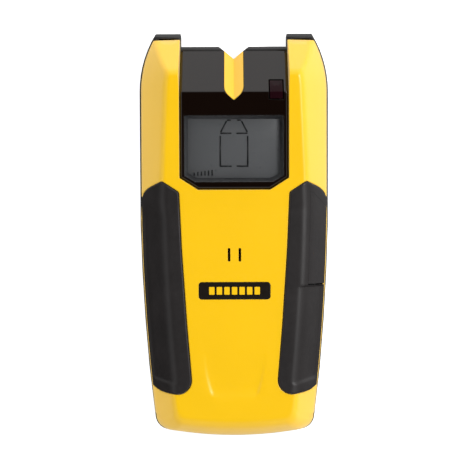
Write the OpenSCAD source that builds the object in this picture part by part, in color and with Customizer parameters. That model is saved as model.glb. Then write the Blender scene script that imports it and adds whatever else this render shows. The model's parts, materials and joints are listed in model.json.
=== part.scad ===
// Handheld stud finder. It lies on its sensing face, with the display up.
// X runs across the body, Y from the foot to the horns, Z out of the front.

/* [Body] */
// Overall length from the foot to the horn tips
body_len = 160; // [158:1:164]
// Overall width across the rear housing
body_w = 75.2; // [74:0.2:77]
// Thickness at the crest of the head
crest_z = 32; // [31.5:0.5:33]
// Thickness along the handle
handle_z = 28; // [27.5:0.5:28.5]
// Wall thickness of the front housing
wall = 2.4; // [2.2:0.1:2.6]
// Fall of the head's end face below the display, in degrees
end_slope = 46.5; // [46:0.25:47]
// Fall of the horns on each side of it, in degrees
horn_slope = 52.5; // [52:0.25:53]

/* [Display] */
// Depth of the display panel below the side rails
panel_sink = 0.8; // [0.6:0.1:1]
// Thickness of the display panel
panel_t = 2; // [1.8:0.1:2.2]
// Half width of the display panel
panel_half = 21.1; // [20.8:0.1:21.4]

/* [Grips] */
// How far the rubber grips stand proud of the housing
grip_proud = 0.6; // [0.4:0.1:0.8]
// Depth of the pockets that hold the grips
grip_pocket = 1.2; // [1:0.1:1.3]

/* [Battery door] */
// Half width of the door plate
door_half = 15.5; // [15:0.1:15.6]
// Thickness of the door plate
door_t = 1.5; // [1.4:0.1:1.6]

/* [Hidden] */
$fn = 48;
gap = 0.2;
eps = 0.01;
far = 100;

// Body outline, seen from the front
half_len = body_len / 2;
half_w = body_w / 2;
part_z = 12;
head_r = 44;
head_y = half_len - 23;
taper_r = 800;
taper_y = 23;
foot_r = 148;
foot_corner_r = 6;
horn_half = 21.1;
horn_gap_y = half_len - 5.2;
horn_lip = 2.7;
back_floor = 2;
back_wall = 2.2;

// Front surface, seen from the side
ramp_y = 10;
crest_y = half_len - 17.1;
ramp = (crest_z - handle_z) / (crest_y - ramp_y);
panel_crest_y = crest_y - 7.5;
ledge_t = 1.8;
bay_half = panel_half + gap;
bay_foot_y = 17.4;

// Marking notch
notch_ratio = 1.18;
notch_depth = 3.1;
notch_tip_y = panel_crest_y - notch_depth;
notch_tip_z = handle_z - panel_sink + ramp * (notch_tip_y - ramp_y);
notch_foot_y = notch_tip_y + (notch_tip_z - part_z) / tan(end_slope);
notch_half = notch_ratio * notch_depth;

// Liquid crystal display, in the plane of the panel
lcd_y = 33.3;
lcd_half = [19.4, 12.9];
lcd_tilt = atan(ramp);
lcd_top = -3.65;
bezel_slope = 1.4;

// Boards
board_t = 1.6;
main_z = 15;
main_top = main_z + board_t;
main_half = 22.5;
main_y = [-15, 60];
sensor_z = 3.2;
sensor_t = 1.2;
sensor_y = [12, 66];
sensor_half = 21;

// Sound slots and the name plate
slots_x = [-2.1, 2.1];
slot_y = -10.6;
slot_size = [1, 5.2];
badge_half = [13.9, 3.3];
badge_y = -22;
badge_r = 1.2;

// Thumb recess, with the half widths and heights of its corners
recess_foot = [9.3, -63.4];
recess_side = [12.4, -47.8];
recess_head = [12.9, -44];
recess_deep = 0.9;

// Side key and its switch
key_z = [14.6, 27.4];
key_foot_y = -19.9;
key_head_y = 11;
key_head_lean = 0.49;
key_core_z = 24.7;
key_skin = 0.3;
switch_y = -3;
switch_z = main_top + 2;
plunger_r = 1.2;
plunger_tip_x = 25.6;

// Battery, its tray and its door
battery = [26.5, 46.4, 17.5];
battery_z = 2.3;
battery_y = -75.2;
tray_half = 13.8;
tray_wall = 1.6;
tray_top = 20.3;
tray_head_y = -22.5;
door_head_y = -22;
tongue = 1.1;

// Fasteners
case_screws_at = [[26, 55], [-26, 55], [22, -66], [-22, -66]];
main_screws_at = [[18.5, 52.6], [-18.5, 52.6], [18.5, -11], [-18.5, -11]];
sensor_screws_at = [[17, 22], [-17, 22], [17, 60], [-17, 60]];

// Half width of the body at y, drawn in by d
function side_x(y, d) =
    y > head_y ? half_w - head_r + sqrt(pow(head_r - d, 2) - pow(y - head_y, 2))
    : y < taper_y ? half_w - taper_r + sqrt(pow(taper_r - d, 2) - pow(taper_y - y, 2))
    : half_w - d;

// Height of the foot's edge at x, drawn in by d
function foot_y(x, d) = d - half_len + x * x / (2 * foot_r);

// Right half of the outline, drawn in by ds at the sides, df at the foot and dt at the top
function half_outline(ds, df, dt, r) =
    let (cx = side_x(df + r - half_len, ds) - r, cy = foot_y(cx, df) + r, top = half_len - dt)
    concat(
        [for (i = [0 : 3]) [cx * i / 4, foot_y(cx * i / 4, df)]],
        [for (a = [-84 : 12 : 0]) [cx + r * cos(a), cy + r * sin(a)]],
        [for (i = [1 : 5]) let (y = cy + (taper_y - cy) * i / 5) [side_x(y, ds), y]],
        [for (i = [0 : 7]) let (y = head_y + (top - head_y) * i / 7) [side_x(y, ds), y]]
    );

function outline(ds, df, dt, r) =
    let (h = half_outline(ds, df, dt, r))
    concat(h, [for (i = [len(h) - 1 : -1 : 1]) [-h[i].x, h[i].y]]);

// How far the front housing has closed in at height z, at its sides and at its foot
function side_in(z) = let (t = z - part_z) 0.5 + 0.4625 * t + 0.003125 * t * t;
function foot_in(z) = let (t = max(0, z - part_z)) 0.3 + 5.3 * pow(t / 16, 2.4);
function corner_in(z) = foot_corner_r - 0.1 * (z - part_z);

// A surface that runs flat along the handle, ramps up to a crest at cy and falls to the head's end.
// It lies sink below the rails, and g moves it outward. Only the panel is sunk.
function fall_slope(sink) = sink > 0 ? end_slope : horn_slope;
function ramp_z(y, sink) = handle_z - sink + ramp * (y - ramp_y);
function crest_point(sink, cy, g) =
    let (
        a = fall_slope(sink),
        t = tan(a),
        y = (ramp_z(cy, sink) + t * (cy + g / sin(a)) - ramp_z(0, sink) - g) / (ramp + t)
    )
    [y, ramp_z(y, sink) + g];
function fall_y(sink, cy, g, z) =
    let (a = fall_slope(sink)) cy + g / sin(a) + (ramp_z(cy, sink) - z) / tan(a);
function profile(sink, cy, g, z0) = [
    [-half_len - 4, handle_z - sink + g],
    [ramp_y, handle_z - sink + g],
    crest_point(sink, cy, g),
    [fall_y(sink, cy, g, z0), z0]
];

module along_x(points, width = far) {
    rotate([90, 0, 90]) linear_extrude(width, center = true) polygon(points);
}
module below(sink, cy, g, z0 = part_z) {
    along_x(concat(profile(sink, cy, g, z0), [[-half_len - 4, z0]]));
}
module above(sink, cy, g) {
    z0 = part_z - 1;
    along_x(concat(profile(sink, cy, g, z0), [[far, z0], [far, 60], [-half_len - 4, 60]]));
}
module below_panel(g, z0 = part_z) below(panel_sink, panel_crest_y, g, z0);
module above_panel(g) above(panel_sink, panel_crest_y, g);

// The front housing's outer form, moved outward by g, as a stack of outlines
form_levels = [10, 14, 18, 22, 26, 30, 34];
function front_outline(z, g) =
    outline(side_in(z) - g, foot_in(z) - g, horn_lip - g, max(1, corner_in(z) + g));
module front_form(g) {
    rings = [for (z = form_levels) [for (p = front_outline(z, g)) [p.x, p.y, z]]];
    n = len(rings[0]);
    m = len(rings);
    polyhedron(
        points = [for (ring = rings) each ring],
        faces = concat(
            [[for (i = [0 : n - 1]) i]],
            [[for (i = [n - 1 : -1 : 0]) (m - 1) * n + i]],
            [
                for (k = [0 : m - 2]) for (i = [0 : n - 1])
                    [k * n + i, (k + 1) * n + i, k * n + (i + 1) % n]
            ],
            [
                for (k = [0 : m - 2]) for (i = [0 : n - 1])
                    [(k + 1) * n + i, (k + 1) * n + (i + 1) % n, k * n + (i + 1) % n]
            ]
        )
    );
}
module front_solid(g) {
    intersection() {
        front_form(g);
        below(0, crest_y, g);
    }
}

// The rear housing's convex form
module back_form() {
    hull() {
        linear_extrude(eps) polygon(outline(0.8, 0.8, 0.8, foot_corner_r - 0.8));
        translate([0, 0, 0.9]) linear_extrude(part_z - 2.9) polygon(outline(0, 0, 0, foot_corner_r));
        translate([0, 0, part_z - eps]) linear_extrude(eps) polygon(outline(0.3, 0.2, 1.4, foot_corner_r));
    }
}

module plan(points, z0 = -1, z1 = 60) {
    translate([0, 0, z0]) linear_extrude(z1 - z0) polygon(points);
}
function mirrored(points) =
    concat(points, [for (i = [len(points) - 1 : -1 : 0]) [-points[i].x, points[i].y]]);

function bay_plan(g) = mirrored([
    [14.1 + g * 0.6, bay_foot_y - g],
    [bay_half + g, 22 - g * 0.5],
    [bay_half + g, far]
]);
function notch_plan(g) = [
    [0, notch_tip_y - 1.28 * g],
    [notch_half + g, panel_crest_y - 0.48 * g],
    [notch_half + g, far],
    [-notch_half - g, far],
    [-notch_half - g, panel_crest_y - 0.48 * g]
];

// The slanted V that a pencil follows down to the wall, and the upright V below the parting line
module notch_cut() {
    depth = 12;
    half = notch_ratio * depth / sin(end_slope);
    start = 4;
    translate([0, notch_foot_y + start / tan(end_slope), part_z - start]) rotate([90 - end_slope, 0, 0])
        linear_extrude(44) polygon([[0, 0], [half, depth], [-half, depth]]);
}
function notch_vee(g) = [
    [0, notch_foot_y - g * 1.3],
    [notch_ratio * 20 + g, notch_foot_y + 20],
    [-notch_ratio * 20 - g, notch_foot_y + 20]
];

// Grip outline on the right-hand side, seen from the front
grip_points = concat(
    [[28.2, 20.6], [22.1, 16.7], [21.5, 15.2], [20.6, -6], [18.7, -35]],
    [for (a = [174 : 16 : 270]) [22 + 5.2 * cos(a), -57.2 + 5.2 * sin(a)]],
    [[29.9, -61.4], [33.2, -59.3], [42, -52.9], [42, 6], [37.4, 7]],
    [[37.2, 11], [36.6, 14.2], [35.4, 16.5], [33.8, 18.2], [31.8, 19.2]]
);
grip_z = part_z + 2;

// The outline moved outward by g, away from the line down the grip's middle
function grip_outline(g) = [
    for (p = grip_points)
        let (away = p - [30, min(max(p.y, -52), 6)])
        p + g * away / norm(away)
];
module grip_region(g) {
    plan(grip_outline(g), grip_z - g, 40);
}

// The shallow hollow for the fingers, down the outer side of a grip
module finger_hollow(top_y) {
    difference() {
        plan([[20, -59.8], [45, -54.8], [45, top_y + 2], [20, top_y - 1]], 10, 28.2);
        front_form(-0.2);
    }
}

// Side key outline, seen from the right, up to height top; every edge runs along X, so the key
// slides in with an even gap
module key_region(g, top = key_z[1]) {
    translate([24, 0, 0]) rotate([90, 0, 90]) linear_extrude(18) polygon([
        [key_foot_y - g, key_z[0] - g], [key_head_y + g, key_z[0] - g],
        [key_head_y + key_head_lean * (top - key_z[0]) + g, top + g], [key_foot_y - g, top + g]
    ]);
}

module on_display() {
    translate([0, lcd_y, ramp_z(lcd_y, panel_sink)]) rotate([lcd_tilt, 0, 0]) children();
}
module local_slab(points, z0, z1) {
    translate([0, 0, z0]) linear_extrude(z1 - z0) polygon(points);
}
function lcd_aperture(g) = mirrored([
    [15.2 + g * 0.6, -lcd_half.y - g],
    [lcd_half.x + g, -10.4 - g * 0.5],
    [lcd_half.x + g, lcd_half.y + g]
]);
module over_board(top = 40) {
    translate([-30, -20, main_top + 0.05]) cube([60, 90, top - main_top]);
}

lens_at = [16.5, 56.4];
lens_size = [5, 7.4];
module lens_column(g, z0, z1) {
    translate([lens_at.x - lens_size.x / 2 - g, lens_at.y - lens_size.y / 2 - g, z0])
        cube([lens_size.x + 2 * g, lens_size.y + 2 * g, z1 - z0]);
}

// --- Housing ---

module front_cavity() {
    difference() {
        intersection() {
            front_form(-wall);
            below(0, crest_y, -wall, part_z - 1);
        }
        intersection() {
            plan(bay_plan(2), part_z - 2);
            above_panel(-panel_t - ledge_t);
        }
    }
}

module front_bosses() {
    intersection() {
        front_solid(-grip_pocket - 0.7);
        union() {
            for (p = case_screws_at) translate([p.x, p.y, part_z]) cylinder(r = 3.2, h = 20);
            for (p = main_screws_at) translate([p.x, p.y, main_top + 0.05]) cylinder(r = 2.1, h = 20);
        }
    }
}

module thumb_recess() {
    foot = recess_foot.y;
    head = recess_head.y;
    intersection() {
        plan(mirrored([recess_foot, recess_side, recess_head]), 20);
        along_x([[foot, handle_z - recess_deep], [head, handle_z + 0.02], [head, 40], [foot, 40]]);
    }
}

module front_shell() color("gold") difference() {
    union() {
        difference() {
            front_solid(0);
            front_cavity();
            intersection() {
                plan(bay_plan(0), part_z - 2);
                above_panel(-panel_t);
            }
        }
        difference() {
            front_bosses();
            intersection() {
                plan(bay_plan(0.5), part_z - 2);
                above_panel(-panel_t - 0.5);
            }
        }
        intersection() {
            plan(notch_plan(0.3), part_z);
            below_panel(0);
            above_panel(-panel_t - ledge_t - 0.4);
        }
    }
    notch_cut();
    for (side = [0, 1]) mirror([side, 0, 0]) difference() {
        grip_region(0.05);
        front_solid(-grip_pocket);
    }
    key_region(0.35, key_core_z);
    for (x = slots_x) translate([x - slot_size.x / 2, slot_y, 20]) cube([slot_size.x, slot_size.y, 12]);
    plan(badge_plan(0.1), handle_z - 0.4);
    thumb_recess();
    on_display() translate([-22.1, -15.8, -8]) cube([44.2, 31.6, 8]);
    translate([lens_at.x, lens_at.y, 20]) cylinder(r = 1.8, h = 12);
    for (p = case_screws_at) translate([p.x, p.y, part_z - 1]) cylinder(r = 1.5, h = 8.5);
    for (p = main_screws_at) translate([p.x, p.y, main_top - 1]) cylinder(r = 0.95, h = 5.5);
}

module door_slot() {
    start = -half_len - 2;
    length = door_head_y + gap - start;
    groove_z = 0.7;
    translate([-door_half - gap, start, -1]) cube([2 * (door_half + gap), length, 1 + door_t + 0.65]);
    translate([-door_half - tongue - gap, start, groove_z])
        cube([2 * (door_half + tongue + gap), length, door_t - groove_z + gap]);
}

module back_shell() color("dimgray") difference() {
    union() {
        difference() {
            back_form();
            difference() {
                translate([0, 0, back_floor]) linear_extrude(part_z)
                    polygon(outline(back_wall, back_wall, back_wall, foot_corner_r - back_wall));
                translate([-horn_half - back_wall, horn_gap_y - back_wall, 0])
                    cube([2 * (horn_half + back_wall), 20, 20]);
                plan(notch_vee(back_wall), 0, 20);
            }
        }
        intersection() {
            translate([-tray_half - tray_wall, 1 - half_len, 0]) cube([
                2 * (tray_half + tray_wall), half_len - 1 + tray_head_y + tray_wall, tray_top + tray_wall
            ]);
            union() {
                back_form();
                front_form(-wall - 0.4);
            }
        }
        for (side = [-1, 1]) translate([side * 16.2 - 2.3, -half_len + 3, 0]) cube([4.6, 58.5, 4.2]);
        for (p = case_screws_at) translate([p.x, p.y, 0]) cylinder(r = 4, h = part_z);
        for (p = sensor_screws_at) translate([p.x, p.y, 0]) cylinder(r = 2, h = sensor_z);
    }
    translate([-horn_half, horn_gap_y, -1]) cube([2 * horn_half, 20, 20]);
    along_x([
        [horn_gap_y, part_z - 1.4], [horn_gap_y - 1.2, part_z + 0.01],
        [horn_gap_y + 9, part_z + 9], [horn_gap_y + 9, part_z - 1.4]
    ], 2 * horn_half);
    plan(notch_vee(0), -1, 20);
    door_slot();
    translate([-tray_half, battery_y - 0.3, -1])
        cube([2 * tray_half, tray_head_y - battery_y + 0.3, tray_top + 1]);
    translate([-6, tray_head_y - 1, 9]) cube([12, 4, 5]);
    for (p = case_screws_at) translate([p.x, p.y, -1]) {
        cylinder(r = 1.6, h = 20);
        cylinder(r = 3.1, h = 3.6);
    }
    for (p = sensor_screws_at) translate([p.x, p.y, 1]) cylinder(r = 0.85, h = 9);
    translate([-17, 26, -1]) cube([34, 20, 1.25]);
}

module right_grip_solid(key_hole) {
    difference() {
        intersection() {
            front_solid(grip_proud);
            grip_region(-0.05);
        }
        front_solid(-grip_pocket + 0.05);
        finger_hollow(key_hole ? key_foot_y : 10);
        if (key_hole) key_region(0.35);
    }
}
module left_grip() color("#2b2828") mirror([1, 0, 0]) right_grip_solid(false);
module right_grip() color("#2b2828") right_grip_solid(true);

// --- Display ---

module display_panel() color("#181314") difference() {
    intersection() {
        plan(bay_plan(-gap), part_z + 0.05);
        below_panel(0);
        above_panel(-panel_t);
    }
    plan(notch_plan(0.45), part_z - 1);
    on_display() local_slab(lcd_aperture(0), -6, 6);
    lens_column(0.15, 10, 40);
}

module display_window() color("lightgray", 0.4)
    on_display() local_slab(lcd_aperture(-0.05), -1.4, 0);

module lcd_bezel() color("#3a3a3c") intersection() {
    over_board();
    on_display() difference() {
        translate([-21.8, -15.5, -20]) cube([43.6, 31, 17.95]);
        hull() {
            local_slab(lcd_aperture(-0.1), -2.06, -1.9);
            local_slab(lcd_aperture(-bezel_slope), lcd_top - 0.02, lcd_top);
        }
        translate([-20.2, -14.2, -30]) cube([40.4, 28.4, 30 + lcd_top]);
    }
}

module lcd_glass() color("#5d6466")
    on_display() translate([-20, -14, lcd_top - 2]) cube([40, 28, 1.98]);

seg_w = 0.55;
seg_t = 0.1;
module segment(a, b) {
    length = norm(b - a);
    translate([a.x, a.y, lcd_top]) rotate([0, 0, atan2(b.y - a.y, b.x - a.x)])
        translate([0, -seg_w / 2, 0]) cube([length, seg_w, seg_t]);
}

// The target figure, a roofed box drawn with gaps on its centre line, and a row of level bars
module lcd_segments() color("#1d2124") on_display() {
    for (side = [0, 1]) mirror([side, 0, 0]) {
        segment([1.2, 11], [2.7, 11]);
        segment([2.95, 10.7], [5.2, 6.35]);
        segment([1, 5.9], [5.3, 5.9]);
        segment([5.35, 4.9], [5.35, -6.6]);
        segment([1, -6.95], [5.6, -6.95]);
    }
    for (i = [0 : 5]) segment([-15.6 + 1.4 * i, -10.6], [-15.6 + 1.4 * i, -9.4 + 0.2 * i]);
}

module lcd_diffuser() color("white")
    on_display() translate([-19.8, -11.4, lcd_top - 3.65]) cube([39.6, 22.8, 1.6]);

module lcd_contact_strips() color("#c98f8f") intersection() {
    over_board();
    on_display() for (v = [-12.8, 12.8]) translate([-19, v - 1, -20]) cube([38, 2, 20 + lcd_top - 2.03]);
}

// --- Warning lamp ---

module warning_lens() color("#4a0f14", 0.8) union() {
    intersection() {
        lens_column(0, 10, 40);
        below_panel(-0.15);
        above_panel(-panel_t);
    }
    translate([lens_at.x, lens_at.y, 22]) cylinder(r = 1.5, h = 6);
}

module warning_lamp() color("crimson") translate([lens_at.x, lens_at.y, main_top + 0.02]) {
    cylinder(r = 1.9, h = 0.8);
    cylinder(r = 1.5, h = 3.4);
    translate([0, 0, 3.4]) sphere(r = 1.5);
}

// --- Plates ---

corners = [[1, 1], [-1, 1], [-1, -1], [1, -1]];
function badge_plan(g) = [
    for (q = [0 : 3]) for (a = [90 * q : 15 : 90 * q + 90])
        let (r = badge_r + g, x = badge_half.x - badge_r, y = badge_half.y - badge_r)
            [corners[q].x * x + r * cos(a), badge_y + corners[q].y * y + r * sin(a)]
];
module badge_plate() color("#1c1512") plan(badge_plan(0), handle_z - 0.4, handle_z + 0.15);
module rating_plate() color("silver") translate([-16.8, 26.2, 0.05]) cube([33.6, 19.6, 0.18]);

// --- Side key ---

module key_cap() color("#2b2828") difference() {
    intersection() {
        front_form(grip_proud + 0.15);
        key_region(0);
    }
    front_form(-key_skin);
}

module key_carrier() color("darkgray") union() {
    difference() {
        intersection() {
            front_form(-key_skin - 0.02);
            key_region(-0.4, key_core_z);
        }
        front_form(-wall - 0.3);
    }
    difference() {
        intersection() {
            front_form(-wall - 0.28);
            key_region(0.8, key_core_z);
            below(0, crest_y, -wall - 0.25);
        }
        front_form(-wall - 1.4);
    }
    translate([plunger_tip_x + 0.1, switch_y - 2, switch_z - 1.5]) cube([5, 4, 3]);
}

module switch_case() color("#222222") difference() {
    translate([16.5, switch_y - 3, main_top + 0.02]) cube([6, 6, 4]);
    translate([17, switch_y, switch_z]) rotate([0, 90, 0]) cylinder(r = plunger_r + 0.08, h = 10);
}
module switch_plunger() color("ivory")
    translate([18.2, switch_y, switch_z]) rotate([0, 90, 0])
        cylinder(r = plunger_r, h = plunger_tip_x - 18.2);

// --- Boards ---

module slab(x, y, z, t) {
    translate([-x, y[0], z]) cube([2 * x, y[1] - y[0], t]);
}
module main_board() color("#1f6b3a") difference() {
    slab(main_half, main_y, main_z, board_t);
    for (p = main_screws_at) translate([p.x, p.y, 0]) cylinder(r = 1.1, h = 30);
}
module sensor_board() color("#1f6b3a") difference() {
    slab(sensor_half, sensor_y, sensor_z + 0.02, sensor_t);
    for (p = sensor_screws_at) translate([p.x, p.y, 0]) cylinder(r = 1.05, h = 30);
}

// Four long electrodes side by side on the wall side of the sensor board
module sensor_plates() color("#b87333") for (i = [-2 : 1])
    translate([3.6 + 7.2 * i - 3.1, 25, sensor_z - 0.3]) cube([6.2, 31, 0.3]);

module board_header() color("#141414") {
    translate([-10.2, 14.4, sensor_z + sensor_t + 0.04]) cube([20.4, 2.6, 2.6]);
    pin = 0.64;
    for (i = [0 : 7]) translate([2.54 * (i - 3.5) - pin / 2, 15.4, sensor_z + sensor_t + 2.6])
        cube([pin, pin, main_z - sensor_z - sensor_t - 2.62]);
}

chips_at = [[-10, 6, 10, 10], [9, 8.5, 6, 5], [-13, -8, 5, 4]];
module board_chips() color("#1a1a1a") for (c = chips_at)
    translate([c[0] - c[2] / 2, c[1] - c[3] / 2, main_top + 0.02]) cube([c[2], c[3], 1.4]);

module board_passives() color("tan") {
    for (i = [0 : 5]) translate([2 + 3 * i, 14, main_top + 0.02]) cube([2, 1.2, 0.8]);
    for (i = [0 : 3]) translate([-19.5, 1 + 3 * i, main_top + 0.02]) cube([1.2, 2, 0.8]);
    for (x = [-4, 4]) translate([x * 3.6, -2.5, main_top + 0.02]) cylinder(r = 1.6, h = 4.4);
}

module sounder() color("#202020") translate([0, -7.8, main_top + 0.02]) difference() {
    cylinder(r = 6.4, h = 5.4);
    translate([0, 0, 4]) cylinder(r = 1.2, h = 3);
}

// --- Battery ---

battery_mid_z = battery_z + battery.z / 2;
stud_at = [-6.35, 6.35];
stud_r = [4.1, 2.85];
snap_y = battery_y + battery.y + 0.1;
can_t = 0.3;
cell_r = 4.1;
module battery_can() color("#303338") translate([-battery.x / 2, battery_y, battery_z]) difference() {
    cube(battery);
    translate([can_t, can_t, can_t]) cube(battery - 2 * [can_t, can_t, can_t]);
}

// Six cells in two rows of three
module battery_cells() color("silver")
    for (i = [-1 : 1]) for (k = [-1, 1])
        translate([i * (2 * cell_r + 0.1), battery_y + 1.5, battery_mid_z + k * (cell_r + 0.05)])
            rotate([-90, 0, 0]) cylinder(r = cell_r, h = battery.y - 4);

module battery_studs() color("silver") for (i = [0, 1])
    translate([stud_at[i], battery_y + battery.y, battery_mid_z]) rotate([-90, 0, 0])
        cylinder(r = stud_r[i], h = 2.8);

module battery_snap() color("#151515") difference() {
    translate([-12.6, snap_y, battery_mid_z - 6]) cube([25.2, 4, 12]);
    for (i = [0, 1])
        translate([stud_at[i], snap_y - 1, battery_mid_z]) rotate([-90, 0, 0])
            cylinder(r = stud_r[i] + 0.1, h = 4);
}

// A lead runs straight out of the snap, then turns up to the underside of the main board
lead_r = 0.8;
lead_bend = 3;
lead_rise_y = -14;
module lead(x) {
    z = main_z - lead_bend - 1;
    start = snap_y + 4.02;
    translate([x, start, z]) rotate([-90, 0, 0]) cylinder(r = lead_r, h = lead_rise_y - start);
    translate([x, lead_rise_y, z + lead_bend]) rotate([0, 90, 0])
        rotate_extrude(angle = 90) translate([lead_bend, 0]) circle(r = lead_r);
    translate([x, lead_rise_y + lead_bend, z + lead_bend]) cylinder(r = lead_r, h = 0.98);
}
module lead_red() color("red") lead(-3.6);
module lead_black() color("#101010") lead(3.6);

module battery_door() color("dimgray") difference() {
    union() {
        intersection() {
            back_form();
            translate([-door_half, -far, 0]) cube([2 * door_half, far + door_head_y, door_t]);
        }
        for (side = [-1, 1]) translate([side * (door_half + tongue / 2 - 0.1) - tongue / 2, -72, 0.9])
            cube([tongue, 72 + door_head_y, door_t - 0.9]);
    }
    for (i = [0 : 4]) translate([-8, -72 + 2.2 * i, -1]) cube([16, 1, 1.5]);
}
module door_pad() color("#3c3c3c") translate([-11, -68, door_t + 0.01]) cube([22, 36, 0.5]);

// --- Screws ---

module screw(head_r, head_h, shank_r, length) {
    slot = 1.2 * head_r;
    difference() {
        cylinder(r = head_r, h = head_h);
        for (a = [0, 90]) rotate([0, 0, a]) translate([-slot / 2, -0.25, -1]) cube([slot, 0.5, 1.7]);
    }
    translate([0, 0, head_h - 0.05]) cylinder(r = shank_r, h = length);
}
module case_screws() color("silver") for (p = case_screws_at)
    translate([p.x, p.y, 0.62]) screw(2.75, 1.96, 1.45, 16);
module main_board_screws() color("silver") for (p = main_screws_at)
    translate([p.x, p.y, main_z - 1.22]) screw(1.8, 1.2, 0.9, 5);
module sensor_board_screws() color("silver") for (p = sensor_screws_at)
    translate([p.x, p.y, sensor_z + sensor_t + 1.24]) mirror([0, 0, 1]) screw(1.7, 1.2, 0.8, 3);

front_shell();
back_shell();
left_grip();
right_grip();
display_panel();
display_window();
lcd_bezel();
lcd_glass();
lcd_segments();
lcd_diffuser();
lcd_contact_strips();
warning_lens();
warning_lamp();
badge_plate();
rating_plate();
key_cap();
key_carrier();
switch_case();
switch_plunger();
main_board();
sensor_board();
sensor_plates();
board_header();
board_chips();
board_passives();
sounder();
battery_can();
battery_cells();
battery_studs();
battery_snap();
lead_red();
lead_black();
battery_door();
door_pad();
case_screws();
main_board_screws();
sensor_board_screws();
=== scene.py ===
"""Looks for the stud finder: moulded housings, rubber grips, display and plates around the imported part.

Outlines and heights are in millimetres, in the part's own frame: X across the body, Y from the foot to
the horns, Z out of the front. Meshes are written in metres.
"""

import json
import math

import bmesh
import bpy
import numpy as np
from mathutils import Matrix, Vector
from mathutils.geometry import delaunay_2d_cdt


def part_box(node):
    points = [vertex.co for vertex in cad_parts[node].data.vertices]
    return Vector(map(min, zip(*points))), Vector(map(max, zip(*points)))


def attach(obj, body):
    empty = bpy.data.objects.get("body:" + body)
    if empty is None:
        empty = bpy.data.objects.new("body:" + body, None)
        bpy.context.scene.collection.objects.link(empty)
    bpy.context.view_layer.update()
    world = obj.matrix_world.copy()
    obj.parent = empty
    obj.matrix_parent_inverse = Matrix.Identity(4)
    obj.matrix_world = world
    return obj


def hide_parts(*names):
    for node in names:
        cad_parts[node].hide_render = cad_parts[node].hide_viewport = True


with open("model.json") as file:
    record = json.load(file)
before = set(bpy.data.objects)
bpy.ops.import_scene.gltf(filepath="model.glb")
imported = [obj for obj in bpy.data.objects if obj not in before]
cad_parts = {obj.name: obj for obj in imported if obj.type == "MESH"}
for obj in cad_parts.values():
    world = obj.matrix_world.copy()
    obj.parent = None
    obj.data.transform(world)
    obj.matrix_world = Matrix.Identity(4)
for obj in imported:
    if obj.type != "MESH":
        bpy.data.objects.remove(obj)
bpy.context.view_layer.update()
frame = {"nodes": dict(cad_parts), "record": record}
MM = 0.001


def cad_box(node):
    """A CAD node's lowest and highest corners, in millimetres."""
    low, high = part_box(node)
    return np.array(low) / MM, np.array(high) / MM


# --- Driving dimensions, from the frame ---

back_high = cad_box("back_shell")[1]
front_low, front_high = cad_box("front_shell")
HALF_W = back_high[0]
HALF_LEN = back_high[1]
PART_Z = front_low[2]
CREST_Z = front_high[2]
HORN_END_Y = front_high[1]
HANDLE_Z = CREST_Z - 4.0

# Body outline at the parting plane, and how it closes in above that plane
HEAD_R = 44.0
HEAD_Y = HALF_LEN - 23.0
TAPER_R = 800.0
TAPER_Y = 23.0
FOOT_R = 148.0
CORNER_R = 6.0
CORNER_SHRINK = 0.1
SIDE_START = 0.5
SIDE_SLOPE = 0.4625
SIDE_CURVE = 0.003125
FOOT_START = 0.3
FOOT_REACH = 5.3
FOOT_RISE = 16
FOOT_POWER = 2.4

# Front surface, seen from the side: the handle, the ramp to the crest and the fall to the horns
RAMP_Y = 10.0
CREST_Y = HALF_LEN - 17.1
RAMP = (CREST_Z - HANDLE_Z) / (CREST_Y - RAMP_Y)
HORN_FALL = math.tan(math.radians(52.5))
PANEL_FALL = math.tan(math.radians(46.5))
WALL = 2.4
PANEL_SINK = 0.8
PANEL_CREST_Y = CREST_Y - 7.5
PANEL_HALF = 21.1

# Grips: how far they stand out, how deep their pockets go, and the height where they begin
GRIP_PROUD = 0.6
HOLLOW_DEPTH = 0.8
POCKET = 1.15
GRIP_Z = PART_Z + 2.0

# Marking notch
NOTCH_RATIO = 1.18
NOTCH_DEPTH = 3.1
NOTCH_TIP_Y = PANEL_CREST_Y - NOTCH_DEPTH
NOTCH_HALF = NOTCH_RATIO * NOTCH_DEPTH
NOTCH_THICK = 3.2

# Spacing of points along outlines, and the turn from point to point round a corner
STEP = 0.9
FILLET_TURN = math.radians(11.0)

# Share of the grid's spacing that stays clear beside a line, and the angle above which an edge is sharp
CLEAR = 0.55
SMOOTH_ANGLE = math.radians(38.0)


# --- Outlines ---


def side_x(y, d):
    """Half width of the body at y, drawn in by d."""
    y = np.asarray(y, float)
    head = HALF_W - HEAD_R + np.sqrt(np.maximum((HEAD_R - d) ** 2 - (y - HEAD_Y) ** 2, 0))
    taper = HALF_W - TAPER_R + np.sqrt((TAPER_R - d) ** 2 - (TAPER_Y - y) ** 2)
    return np.where(y > HEAD_Y, head, np.where(y < TAPER_Y, taper, HALF_W - d))


def foot_y(x, d):
    """Height of the foot's edge at x, drawn in by d."""
    return d - HALF_LEN + np.asarray(x, float) ** 2 / (2 * FOOT_R)


def level(z, g):
    """How far the sides and the foot have closed in at height z, less g, and the corner radius there."""
    t = z - PART_Z
    side = SIDE_START + SIDE_SLOPE * t + SIDE_CURVE * t * t
    foot = FOOT_START + FOOT_REACH * (np.maximum(t, 0) / FOOT_RISE) ** FOOT_POWER
    return side - g, foot - g, np.maximum(1.0, CORNER_R - CORNER_SHRINK * t + g)


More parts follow.
